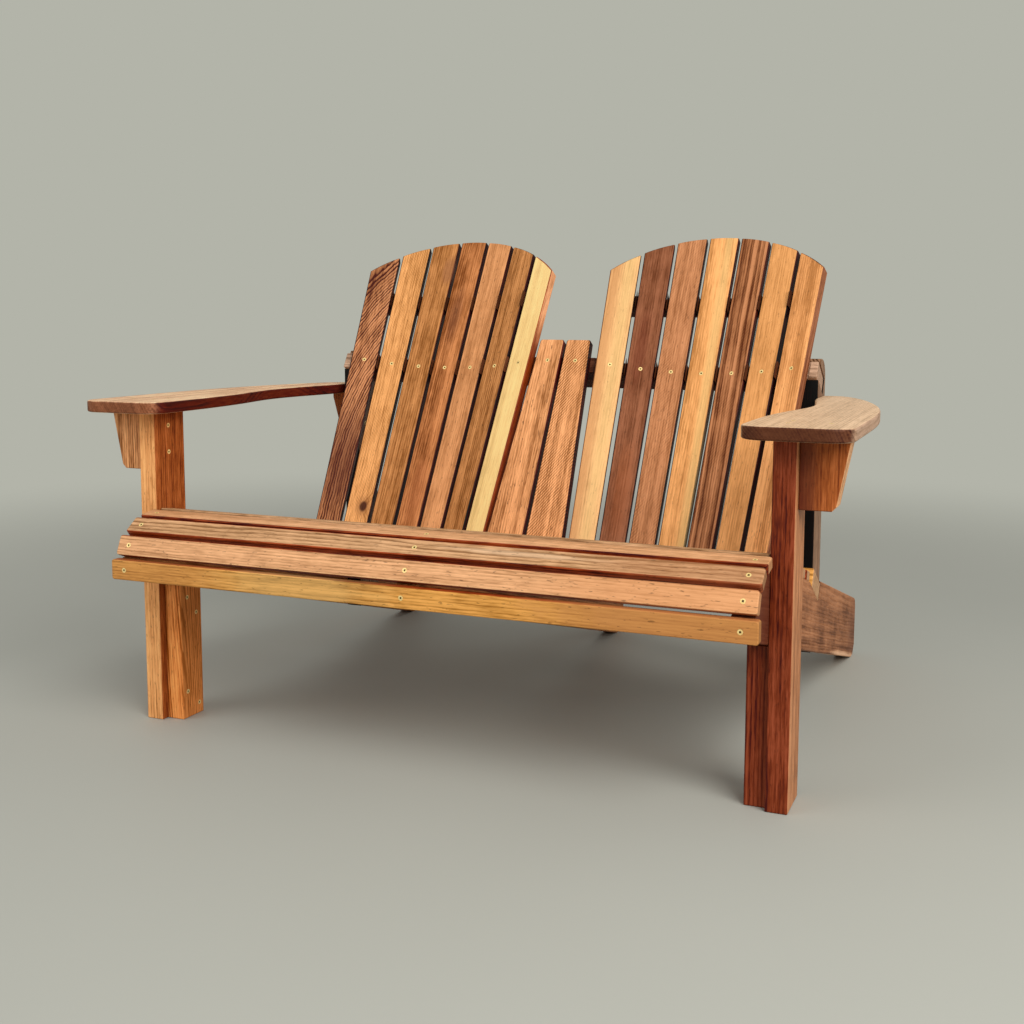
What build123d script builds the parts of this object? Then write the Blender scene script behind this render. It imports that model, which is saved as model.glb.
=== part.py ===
"""Two-seat garden bench with two scooped fan backs, broad arms and a slatted waterfall seat.

Millimetres, Z up, the front of the seat towards -Y, the floor at Z = 0.
While building, Y = 0 is the front face of the front posts; the parts are moved to the middle at the end.
"""

import math
import os

from build123d import *

os.makedirs("parts", exist_ok=True)

# Lumber sections
frame_thick = 38.0
post_depth = 89.0
block_depth = 64.0
stringer_width = 140.0
rail_depth = 89.0
middle_rail_depth = 75.0
slat_thick = 19.0
arm_thick = 22.0
edge_round = 2.5
arm_round = 3.5

# Legs and stringers
width_over_posts = 1280.0
arm_underside = 615.5
block_setback = 15.5
stringer_slope = 15.7
stringer_top = 424.6
stringer_end = 1043.0
foot_clip_run = 24.0
foot_clip_rise = 20.0
tail_round = 25.0

# Seat slats: the first ones wrap the nose, each as middle of its face (y, z) and tilt in degrees
nose_slats = [
    (-121.6, 328.2, 90.0),
    (-106.4, 373.2, 66.8),
    (-70.0, 406.7, 36.0),
    (-24.2, 422.5, 9.4),
    (26.0, 423.6, -9.0),
]
seat_slat_width = 38.0
seat_slat_corner = 5.0
first_sloped_slat = (76.0, 412.7)
sloped_slats = 7
slat_pitch = 52.0
front_overhang = 5.3
first_slat_extra = 4.5
front_slats = 4
between_posts_gap = 1.5

# Back frame: its foot point, its recline, and the sideways lean of each fan
back_foot_y = 419.2
back_foot_z = 250.0
recline = 30.55
fan_centre = 303.3
fan_lean = 0.61

# Fan of slats: sizes at the foot and at a reference height along the back
reference_height = 760.0
slats_per_fan = 7
foot_pitch = 59.2
foot_scoop = 30.2
scoop_radius = 681.0
scoop_step = 5.99
slat_turn = 6.49
foot_slat_width = 53.8
head_slat_width = 65.0
slat_foot = 28.0
crown_height = 848.0
crown_radius = 319.0

# Rails behind the fans
rail_front = -28.0
lower_rail_height = 30.0
middle_rail_height = 481.0
middle_rail_half = 562.0
upper_rail_height = 654.0
upper_rail_half = 211.0
upper_rail_back_half = 176.0
upper_rail_back = 42.0
horn_gap = 4.0

# Short slats in the middle: how far they rise over the middle rail, and their distance to the fans
centre_slat_foot = 50.0
centre_slat_rise = 34.0
centre_slat_gap = 6.0
centre_foot_clear = 4.0
centre_top_clear = 12.4
centre_corner_round = 6.0

# Rear posts: the wood left behind the middle rail, and above it
rear_post_cover = 13.5
rear_post_foot = 95.0
rear_post_rise = 4.5
rear_post_round = 44.0
slat_clear = 16.0
notch_clear = 0.3

# Arms: overhang past the front posts, front end, distance to the rear post's back and side
arm_over_inside = 47.0
arm_over_outside = 94.0
arm_front = -60.0
arm_rear_gap = 21.0
arm_post_gap = 1.0
arm_inner_corner = 42.0
arm_outer_corner = 42.0
arm_tip_corner = 8.0

# Brackets under the arms
bracket_thick = 38.0
front_bracket_set = 22.0
front_bracket_drop = 117.0
front_bracket_top = 82.0
front_bracket_low = 61.0
bracket_clip = 8.0
rear_bracket_inset = 14.0
rear_bracket_drop = 120.0
rear_bracket_top = 41.0
rear_bracket_low = 12.0

# Screws
screw_head = 9.0
screw_shank = 4.6
screw_sink = 3.4
screw_tip = 7.0
screw_play = 0.1
drive_width = 3.4
drive_depth = 2.2
seat_screw = 45.0
back_screw = 40.0
frame_screw = 62.0
rail_screw = 74.0
arm_screw = 56.0
upper_bite = 11.0

# Screw spots, as shares of the board's depth and height
leg_block_spots = [(0.32, 0.91), (0.74, 0.80), (0.24, 0.20), (0.79, 0.085)]
post_stringer_spots = [(0.31, 0.55), (0.72, 0.42)]
rear_post_spots = [(0.25, 0.72), (0.75, 0.34)]
front_bracket_spots = [0.25, 0.70]
rear_bracket_spots = [0.25, 0.62]

# Derived positions
post_out = width_over_posts / 2
post_in = post_out - frame_thick
stringer_in = post_in - frame_thick
arm_top = arm_underside + arm_thick
slope_tan = math.tan(math.radians(stringer_slope))
slope_cos = math.cos(math.radians(stringer_slope))
stringer_drop = stringer_width / slope_cos
nose_back = nose_slats[0][0] + slat_thick
depth_middle = (nose_slats[0][0] + stringer_end) / 2

recline_sin = math.sin(math.radians(recline))
recline_cos = math.cos(math.radians(recline))
along_back = Vector(0, recline_sin, recline_cos)
into_back = Vector(0, recline_cos, -recline_sin)
back_foot = Vector(0, back_foot_y, back_foot_z)


def back_point(u, v, w):
    """A point given across the back, up along it, and into it."""
    return back_foot + Vector(u, 0, 0) + along_back * v + into_back * w


back_plane = Plane(origin=back_foot, x_dir=(1, 0, 0), z_dir=into_back * -1)


def top_line(y):
    """Height of the straight upper edge of a stringer board."""
    return stringer_top - y * slope_tan


def bottom_line(y):
    """Height of the straight lower edge of a stringer board."""
    return top_line(y) - stringer_drop


def side_board(points, x_from, x_to):
    """A board whose outline is drawn from the side, as (y, z) points."""
    face = make_face(Plane.YZ * Polyline(*points, close=True))
    return Pos(x_from, 0, 0) * extrude(face, amount=x_to - x_from, dir=(1, 0, 0))


def front_board(points, y_from, y_to):
    """A board whose outline is drawn from the front, as (x, z) points."""
    face = make_face(Plane.XZ * Polyline(*points, close=True))
    return Pos(0, y_from, 0) * extrude(face, amount=y_to - y_from, dir=(0, 1, 0))


def block(x_from, x_to, y_from, y_to, z_from, z_to):
    """A plain rectangular block between given limits."""
    solid = Box(x_to - x_from, y_to - y_from, z_to - z_from)
    return Pos((x_from + x_to) / 2, (y_from + y_to) / 2, (z_from + z_to) / 2) * solid


def back_block(u_from, u_to, v_from, v_to, w_from, w_to):
    """A rectangular block in the frame of the back."""
    return back_plane * block(u_from, u_to, v_from, v_to, -w_to, -w_from)


def eased(solid, radius=edge_round):
    """The solid with all its edges lightly rounded."""
    return fillet(solid.edges(), radius)


def other_side(solid):
    """The same piece for the left-hand side."""
    return mirror(solid, about=Plane.YZ)


# Seat slats
seat_faces = list(nose_slats)
for step in range(sloped_slats):
    run = slat_pitch * step
    seat_faces.append(
        (
            first_sloped_slat[0] + run * slope_cos,
            first_sloped_slat[1] - run * slope_tan * slope_cos,
            -stringer_slope,
        )
    )


def seat_slat_plane(face):
    """The plane of a seat slat's upper face, its middle as origin, X along the slat."""
    y, z, tilt = face
    turn = math.radians(tilt)
    return Plane(origin=(0, y, z), x_dir=(1, 0, 0), z_dir=(0, -math.sin(turn), math.cos(turn)))


def seat_slat(number, face):
    """One slat; those ahead of the posts overhang the stringers, the others fit between the posts."""
    half = post_in + front_overhang if number < front_slats else post_in - between_posts_gap
    if number == 0:
        half += first_slat_extra
    plank = Box(2 * half, seat_slat_width, slat_thick)
    plank = fillet(plank.edges().filter_by(Axis.Z), seat_slat_corner)
    return seat_slat_plane(face) * (Pos(0, 0, -slat_thick / 2) * eased(plank))


def slat_bed(face):
    """The two (y, z) points where a slat's lower face begins and ends on the stringer."""
    y, z, tilt = face
    turn = math.radians(tilt)
    bed_y = y + slat_thick * math.sin(turn)
    bed_z = z - slat_thick * math.cos(turn)
    reach = seat_slat_width / 2
    run_y = reach * math.cos(turn)
    run_z = reach * math.sin(turn)
    return [(bed_y - run_y, bed_z - run_z), (bed_y + run_y, bed_z + run_z)]


# Stringers: flat beds under the slats, the full board behind the lower rail, a flat foot at the rear
lower_rail_tool = back_block(
    -post_out,
    post_out,
    lower_rail_height,
    lower_rail_height + 3 * frame_thick,
    rail_front - frame_thick,
    rail_front + rail_depth,
)


def stringer(x_from):
    """One sloping stringer with its notch for the lower rail."""
    outline = [(nose_back, bottom_line(nose_back))]
    for face in seat_faces:
        outline.extend(slat_bed(face)[(1 if face is seat_faces[0] else 0):])
    last_y, last_z = outline[-1]
    step_y = back_foot_y + frame_thick / 2
    outline.append((step_y, last_z - (step_y - last_y) * slope_tan))
    outline.append((step_y, top_line(step_y)))
    outline.append((stringer_end, top_line(stringer_end)))
    outline.append((stringer_end, foot_clip_rise))
    outline.append((stringer_end - foot_clip_run, 0))
    outline.append(((stringer_top - stringer_drop) / slope_tan, 0))
    board = side_board(outline, x_from, x_from + frame_thick)
    top_corner = board.edges().filter_by(Axis.X).group_by(Axis.Y)[-1].sort_by(Axis.Z)[-1]
    board = fillet(top_corner, tail_round)
    long_edges = [edge for edge in board.edges() if edge.length > stringer_width]
    tail_edges = [edge for edge in board.edges() if edge.center().Y > stringer_end - stringer_width]
    board = fillet(long_edges + tail_edges, edge_round)
    return board - lower_rail_tool


# Back slats
def slat_axis(number):
    """Ends of the middle line of a slat's face on the right-hand fan, at the foot and reference height."""
    turn = math.radians(number * scoop_step)
    lean = reference_height * math.tan(math.radians(fan_lean))
    outer = (slats_per_fan - 1) / 2
    low = back_point(fan_centre + number * foot_pitch, 0, -foot_scoop * (number / outer) ** 2)
    high = back_point(
        fan_centre + lean + scoop_radius * math.sin(turn),
        reference_height,
        -scoop_radius * (1 - math.cos(turn)),
    )
    return low, high


def slat_plane(number):
    """Plane of a back slat's face: X across it, Y up along it, Z towards the sitter."""
    low, high = slat_axis(number)
    up = (high - low).normalized()
    turn = math.radians(number * slat_turn)
    across = Vector(math.cos(turn), 0, 0) - into_back * math.sin(turn)
    across = (across - up * across.dot(up)).normalized()
    return Plane(origin=low, x_dir=across, z_dir=across.cross(up))


def slat_half(height):
    """Half the width of a tapered back slat at a height along it."""
    return (foot_slat_width + (head_slat_width - foot_slat_width) * height / reference_height) / 2


def slat_blank(number, left_extra, right_extra, front, back):
    """A tapered board on a slat's plane, widened at its sides, between two depths."""
    low_half = slat_half(slat_foot)
    high_half = slat_half(crown_height + crown_radius / 4)
    points = [
        (-low_half - left_extra, slat_foot),
        (low_half + right_extra, slat_foot),
        (high_half + right_extra, crown_height + crown_radius / 4),
        (-high_half - left_extra, crown_height + crown_radius / 4),
    ]
    face = make_face(Polyline(*points, close=True))
    board = Pos(0, 0, -back) * extrude(face, amount=front + back, dir=(0, 0, 1))
    return slat_plane(number) * board


crown_lean = crown_height * math.tan(math.radians(fan_lean))
crown_middle = crown_height - crown_radius
crown_sketch = Pos(0, crown_middle / 2) * Rectangle(2 * crown_radius, crown_middle)
crown_sketch += Pos(0, crown_middle) * Circle(crown_radius)
crown_board = Pos(fan_centre + crown_lean, 0, 0) * extrude(crown_sketch, amount=crown_radius, both=True)
crown_tool = back_plane * crown_board
fan_numbers = [step - (slats_per_fan - 1) // 2 for step in range(slats_per_fan)]


def back_slat(number):
    """A slat of the right-hand fan, its head cut to the common arc."""
    return eased(slat_blank(number, 0, 0, 0, slat_thick) & crown_tool)


def slat_seat(number):
    """What a slat takes out of a rail, so that its back lies flat in it."""
    between = (foot_pitch - foot_slat_width) / 2
    left = horn_gap if number == fan_numbers[0] else between
    right = horn_gap if number == fan_numbers[-1] else between
    return slat_blank(number, left, right, rail_depth, slat_thick)


right_seats = [slat_seat(number) for number in fan_numbers]
left_seats = [other_side(seat) for seat in right_seats]

# Rails across the back
lower_rail_blank = eased(
    back_block(
        -post_in,
        post_in,
        lower_rail_height,
        lower_rail_height + frame_thick,
        rail_front,
        rail_front + rail_depth,
    )
)
middle_rail_blank = eased(
    back_block(
        -middle_rail_half,
        middle_rail_half,
        middle_rail_height,
        middle_rail_height + frame_thick,
        rail_front,
        rail_front + middle_rail_depth,
    )
)
lower_rail = lower_rail_blank - (right_seats + left_seats)
middle_rail = middle_rail_blank - (right_seats + left_seats)

# Short rail high behind the right fan, narrower at the back so that it hides behind the slats
upper_lean = (upper_rail_height + frame_thick / 2) * math.tan(math.radians(fan_lean))
upper_middle = fan_centre + upper_lean
upper_rail_face = make_face(
    Polyline(
        (upper_middle - upper_rail_half, -rail_front),
        (upper_middle + upper_rail_half, -rail_front),
        (upper_middle + upper_rail_back_half, -upper_rail_back),
        (upper_middle - upper_rail_back_half, -upper_rail_back),
        close=True,
    )
)
upper_rail_plane = Plane(origin=back_point(0, upper_rail_height, 0), x_dir=(1, 0, 0), z_dir=along_back)
right_upper_rail = eased(upper_rail_plane * extrude(upper_rail_face, amount=frame_thick)) - right_seats


def fan_edge(height):
    """Where the nearest slat of the right-hand fan begins, measured from the middle of the bench."""
    number = fan_numbers[0]
    plane = slat_plane(number)
    low, high = slat_axis(number)
    middle = low + (high - low) * (height / reference_height)
    return (middle - plane.x_dir * slat_half(height) - plane.z_dir * slat_thick).X


# Short middle slat on the right
centre_inner = centre_slat_gap / 2
centre_slat_top = middle_rail_height + frame_thick + centre_slat_rise
centre_foot_out = fan_edge(centre_slat_foot) - centre_foot_clear
centre_top_out = fan_edge(centre_slat_top) - centre_top_clear
centre_face = make_face(
    Polyline(
        (centre_inner, centre_slat_foot),
        (centre_foot_out, centre_slat_foot),
        (centre_top_out, centre_slat_top),
        (centre_inner, centre_slat_top),
        close=True,
    )
)
centre_face = fillet(centre_face.vertices().sort_by(Axis.Y)[-2:], centre_corner_round)
centre_board = Pos(0, 0, -rail_front) * extrude(centre_face, amount=slat_thick, dir=(0, 0, 1))
right_centre_slat = back_plane * eased(centre_board)

# Rear posts, notched for the middle rail
rear_inside = stringer_in - frame_thick
rail_top = middle_rail_height + frame_thick
rear_post_back = back_point(0, rail_top, rail_front + middle_rail_depth).Y + rear_post_cover
rear_post_front = rear_post_back - post_depth
rear_post_top = back_point(0, rail_top, rail_front).Z + rear_post_rise
rear_post_blank = block(
    rear_inside, stringer_in, rear_post_front, rear_post_back, rear_post_foot, rear_post_top
)
top_rear_edge = rear_post_blank.edges().filter_by(Axis.X).group_by(Axis.Z)[-1].sort_by(Axis.Y)[-1]
rear_post_blank = eased(fillet(top_rear_edge, rear_post_round))
rail_notch = back_block(
    -post_out,
    post_out,
    middle_rail_height,
    middle_rail_height + frame_thick + notch_clear,
    rail_front - rail_depth,
    rail_front + middle_rail_depth,
)
slat_room = back_block(
    -post_out,
    post_out,
    middle_rail_height + frame_thick,
    crown_height,
    rail_front - 2 * rail_depth,
    rail_front + slat_clear,
)
right_rear_post = rear_post_blank - rail_notch - slat_room

# Front legs
right_front_post = eased(block(post_in, post_out, 0, post_depth, 0, arm_underside))
block_back = block_setback + block_depth
right_leg_block = eased(
    side_board(
        [
            (block_setback, 0),
            (block_back, 0),
            (block_back, bottom_line(block_back)),
            (block_setback, bottom_line(block_setback)),
        ],
        stringer_in,
        post_in,
    )
)

# Arms: the outline from above, with points given as shares of the arm's width and length
arm_rear = rear_post_back - arm_rear_gap
arm_in = post_in - arm_over_inside
arm_out = post_out + arm_over_outside
arm_post_line = stringer_in + arm_post_gap


def arm_point(across, along):
    """A point of the arm's outline, from its inner front corner outwards and back."""
    return (arm_in + across * (arm_out - arm_in), arm_front + along * (arm_rear - arm_front))


tip_inner = (arm_post_line, arm_point(0, 0.99)[1])
waist_start = (arm_post_line, arm_point(0, 0.90)[1])
arm_front_edge = Line(arm_point(0, 0), arm_point(1, 0))
arm_outer_curve = Spline(
    arm_point(1, 0),
    arm_point(1, 0.20),
    arm_point(0.985, 0.43),
    arm_point(0.885, 0.63),
    arm_point(0.68, 0.815),
    arm_point(0.44, 0.945),
    arm_point(0.25, 0.99),
    tip_inner,
    tangents=[(0, 1), (-1, -0.2)],
)
arm_post_edge = Line(tip_inner, waist_start)
arm_inner_curve = Spline(
    waist_start,
    arm_point(0.10, 0.80),
    arm_point(0.20, 0.67),
    arm_point(0.21, 0.56),
    arm_point(0.13, 0.45),
    arm_point(0.04, 0.315),
    arm_point(0, 0.15),
    arm_point(0, 0),
    tangents=[(0, -1), (0, -1)],
)
arm_face = make_face([arm_front_edge, arm_outer_curve, arm_post_edge, arm_inner_curve])
for corner, radius in (
    (arm_point(0, 0), arm_inner_corner),
    (arm_point(1, 0), arm_outer_corner),
    (tip_inner, arm_tip_corner),
):
    arm_face = fillet(arm_face.vertices().sort_by_distance(corner)[0], radius)
arm_board = extrude(arm_face, amount=arm_thick, dir=(0, 0, 1))
arm_edges = arm_board.faces().filter_by(Axis.Z).edges()
right_arm = Pos(0, 0, arm_underside) * fillet(arm_edges, arm_round)

# Brackets under the arms
front_bracket_foot = arm_underside - front_bracket_drop
right_front_bracket = eased(
    front_board(
        [
            (post_out, arm_underside),
            (post_out + front_bracket_top, arm_underside),
            (post_out + front_bracket_low, front_bracket_foot + bracket_clip),
            (post_out + front_bracket_low - bracket_clip, front_bracket_foot),
            (post_out, front_bracket_foot),
        ],
        front_bracket_set,
        front_bracket_set + bracket_thick,
    )
)
rear_bracket_set = rear_post_front + rear_bracket_inset
rear_bracket_foot = arm_underside - rear_bracket_drop
right_rear_bracket = eased(
    front_board(
        [
            (stringer_in, arm_underside),
            (stringer_in + rear_bracket_top, arm_underside),
            (stringer_in + rear_bracket_top, arm_underside - rear_bracket_low),
            (stringer_in + rear_bracket_low, rear_bracket_foot),
            (stringer_in, rear_bracket_foot),
        ],
        rear_bracket_set,
        rear_bracket_set + bracket_thick,
    )
)

# All wooden pieces by name
wood = {}
for side_name, change in (("right", lambda solid: solid), ("left", other_side)):
    wood[f"{side_name}_front_post"] = change(right_front_post)
    wood[f"{side_name}_leg_block"] = change(right_leg_block)
    wood[f"{side_name}_stringer"] = change(stringer(stringer_in))
    wood[f"{side_name}_rear_post"] = change(right_rear_post)
    wood[f"{side_name}_arm"] = change(right_arm)
    wood[f"{side_name}_front_bracket"] = change(right_front_bracket)
    wood[f"{side_name}_rear_bracket"] = change(right_rear_bracket)
    wood[f"{side_name}_upper_rail"] = change(right_upper_rail)
    wood[f"{side_name}_centre_slat"] = change(right_centre_slat)
wood["centre_stringer"] = stringer(-frame_thick / 2)
wood["lower_rail"] = lower_rail
wood["middle_rail"] = middle_rail
for number, face in enumerate(seat_faces):
    wood[f"seat_slat_{number + 1:02d}"] = seat_slat(number, face)
for place, number in enumerate(fan_numbers):
    slat = back_slat(number)
    wood[f"right_back_slat_{place + 1}"] = slat
    wood[f"left_back_slat_{slats_per_fan - place}"] = other_side(slat)


# Screws
def screw_profile(length, play):
    """Half outline of a countersunk screw pointing down, or with play of its hole, drilled from above."""
    head = screw_head / 2 + play
    shank = screw_shank / 2 + play
    start = 10 * play
    return [
        (0, start),
        (head, start),
        (head, -play),
        (shank, -screw_sink),
        (shank, -length + screw_tip),
        (shank / 4, -length - play),
        (0, -length - play),
    ]


def screw_body(length, play):
    """A turned screw without its drive, along -Z from the origin."""
    outline = screw_profile(length, play)
    if play == 0:
        outline.remove((screw_head / 2, 0))
    face = make_face(Plane.XZ * Polyline(*outline, close=True))
    return revolve(face, axis=Axis.Z)


def screw(length):
    """A countersunk screw with a square drive in its head."""
    recess = Pos(0, 0, -drive_depth / 2) * Box(drive_width, drive_width, drive_depth)
    return screw_body(length, 0) - recess


screw_shapes = {}


def screw_shape(length):
    """The screw of a length and its hole, made once for each length."""
    key = round(length, 3)
    if key not in screw_shapes:
        screw_shapes[key] = (screw(length), screw_body(length, screw_play))
    return screw_shapes[key]


screws = {}
holes = {}


def drive(group, point, outward, length, boards):
    """Sets a screw with its head at a point, and drills the boards it passes."""
    body, hole = screw_shape(length)
    place = Plane(origin=point, z_dir=outward).location
    screws.setdefault(group, []).append(place * body)
    for name in boards:
        holes.setdefault(name, []).append(place * hole)


def on_side(vector, sign):
    """A point or direction on the right-hand side (1) or its mirror image (-1)."""
    return Vector(vector.X * sign, vector.Y, vector.Z)


def drive_pair(group, point, outward, length, boards):
    """Sets a screw on the right and its twin on the left; board names carry a {} for the side."""
    for side_name, sign in (("right", 1), ("left", -1)):
        names = [name.format(side_name) for name in boards]
        drive(group, on_side(Vector(point), sign), on_side(Vector(outward), sign), length, names)


stringer_middle = stringer_in + frame_thick / 2
for number, face in enumerate(seat_faces):
    plane = seat_slat_plane(face)
    for name, across in (("left", -stringer_middle), ("centre", 0), ("right", stringer_middle)):
        spot = plane.origin + Vector(across, 0, 0)
        boards = [f"seat_slat_{number + 1:02d}", f"{name}_stringer"]
        drive("seat_screws", spot, plane.z_dir, seat_screw, boards)

middle_line = middle_rail_height + frame_thick / 2
lower_line = lower_rail_height + frame_thick / 2
upper_line = upper_rail_height + frame_thick / 2
# The end slats of a fan lie against the slanted ends of its upper rail, with no screw there
for place, number in enumerate(fan_numbers):
    plane = slat_plane(number)
    names = {"right": f"right_back_slat_{place + 1}", "left": f"left_back_slat_{slats_per_fan - place}"}
    low, high = slat_axis(number)
    for sign, side_name in ((1, "right"), (-1, "left")):
        away = on_side(plane.z_dir, sign)
        for group, line, rail in (
            ("middle_rail_screws", middle_line, "middle_rail"),
            ("lower_rail_screws", lower_line, "lower_rail"),
        ):
            spot = low + (high - low) * (line / reference_height)
            drive(group, on_side(spot, sign), away, back_screw, [names[side_name], rail])
        if number in (fan_numbers[0], fan_numbers[-1]):
            continue
        spot = low + (high - low) * (upper_line / reference_height)
        depth = (spot - back_foot).dot(into_back)
        behind = spot + into_back * (upper_rail_back - depth)
        reach = upper_rail_back - depth - slat_thick + upper_bite
        boards = [names[side_name], f"{side_name}_upper_rail"]
        drive("upper_rail_screws", on_side(behind, sign), into_back, reach, boards)

lower_overlap = (centre_slat_foot + lower_rail_height + frame_thick) / 2
for group, line, rail in (
    ("middle_rail_screws", middle_line, "middle_rail"),
    ("lower_rail_screws", lower_overlap, "lower_rail"),
):
    part_way = (line - centre_slat_foot) / (centre_slat_top - centre_slat_foot)
    outer_edge = centre_foot_out + (centre_top_out - centre_foot_out) * part_way
    spot = back_point((centre_inner + outer_edge) / 2, line, rail_front - slat_thick)
    drive_pair(group, spot, into_back * -1, back_screw, ["{}_centre_slat", rail])

inward = (-1, 0, 0)
for across, up in leg_block_spots:
    y = block_setback + across * block_depth
    spot = (stringer_in, y, up * bottom_line(y))
    drive_pair("leg_screws", spot, inward, frame_screw, ["{}_leg_block", "{}_front_post"])
for across, up in post_stringer_spots:
    y = across * post_depth
    spot = (stringer_in, y, bottom_line(y) + up * stringer_drop)
    drive_pair("leg_screws", spot, inward, frame_screw, ["{}_stringer", "{}_front_post"])

bracket_line = front_bracket_set + bracket_thick / 2
for down in front_bracket_spots:
    spot = (post_in, bracket_line, arm_underside - down * front_bracket_drop)
    drive_pair("bracket_screws", spot, inward, frame_screw, ["{}_front_post", "{}_front_bracket"])
rear_bracket_line = rear_bracket_set + bracket_thick / 2
bracket_taper = (rear_bracket_top - rear_bracket_low) / (rear_bracket_drop - rear_bracket_low)
for down in rear_bracket_spots:
    drop = down * rear_bracket_drop
    bracket_here = rear_bracket_top - bracket_taper * (drop - rear_bracket_low)
    reach = min(frame_screw, frame_thick + bracket_here - 2 * edge_round)
    spot = (rear_inside, rear_bracket_line, arm_underside - drop)
    drive_pair("bracket_screws", spot, inward, reach, ["{}_rear_post", "{}_rear_bracket"])

upward = (0, 0, 1)
for share in (0.25, 0.75):
    spot = ((post_in + post_out) / 2, share * post_depth, arm_top)
    drive_pair("arm_screws", spot, upward, arm_screw, ["{}_arm", "{}_front_post"])
spot = (post_out + front_bracket_low * 0.75, bracket_line, arm_top)
drive_pair("arm_screws", spot, upward, arm_screw, ["{}_arm", "{}_front_bracket"])
spot = (stringer_in + rear_bracket_top / 2, rear_bracket_set + bracket_thick / 4, arm_top)
drive_pair("arm_screws", spot, upward, arm_screw, ["{}_arm", "{}_rear_bracket"])

for across, up in rear_post_spots:
    y = rear_post_front + across * post_depth
    spot = (rear_inside, y, bottom_line(y) + up * stringer_drop)
    drive_pair("frame_screws", spot, inward, frame_screw, ["{}_rear_post", "{}_stringer"])
rail_behind = back_point(0, middle_line + frame_thick / 4, rail_front + middle_rail_depth).Z
spot = ((rear_inside + stringer_in) / 2, rear_post_back, rail_behind)
drive_pair("frame_screws", spot, (0, 1, 0), frame_screw, ["{}_rear_post", "middle_rail"])
for name, across in (("left", -stringer_middle), ("centre", 0), ("right", stringer_middle)):
    spot = back_point(across, lower_rail_height + frame_thick, rail_front + rail_depth / 2)
    drive("frame_screws", spot, along_back, rail_screw, ["lower_rail", f"{name}_stringer"])

# Drill the boards, move everything to the middle, and write one file per piece
to_middle = Pos(0, -depth_middle, 0)
for name, solid in wood.items():
    drilled = solid - holes[name] if name in holes else solid
    export_step(to_middle * drilled, f"parts/{name}.step")
for group, bodies in screws.items():
    export_step(to_middle * Compound(children=bodies), f"parts/{group}.step")
print(len(wood) + len(screws), "pieces")
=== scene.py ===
import math

import bpy
import numpy as np
from mathutils import Matrix, Vector


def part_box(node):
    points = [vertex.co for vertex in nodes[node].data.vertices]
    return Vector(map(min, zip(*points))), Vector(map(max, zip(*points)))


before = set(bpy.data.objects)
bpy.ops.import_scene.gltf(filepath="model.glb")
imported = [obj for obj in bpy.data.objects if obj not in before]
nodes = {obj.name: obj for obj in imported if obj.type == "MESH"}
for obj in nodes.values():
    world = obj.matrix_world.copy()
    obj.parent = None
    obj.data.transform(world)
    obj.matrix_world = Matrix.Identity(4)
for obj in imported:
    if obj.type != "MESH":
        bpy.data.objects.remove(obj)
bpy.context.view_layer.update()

# The part's middle lies this far behind the front faces of the front posts
DEPTH_MIDDLE = 0.4607
# How far the rails of the back lean, and how steeply the stringers fall to the rear
RECLINE = math.radians(30.55)
SLOPE = math.radians(15.7)


def tone(r, g, b):
    """A colour written as screen values from 0 to 255, as the linear colour that a shader takes."""
    out = []
    for value in (r, g, b):
        s = value / 255
        out.append(s / 12.92 if s <= 0.04045 else ((s + 0.055) / 1.055) ** 2.4)
    return (*out, 1.0)


# Sockets of a mix node that mixes colours
MIX_SHARE, MIX_FIRST, MIX_SECOND, MIX_RESULT = 0, 6, 7, 2


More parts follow.
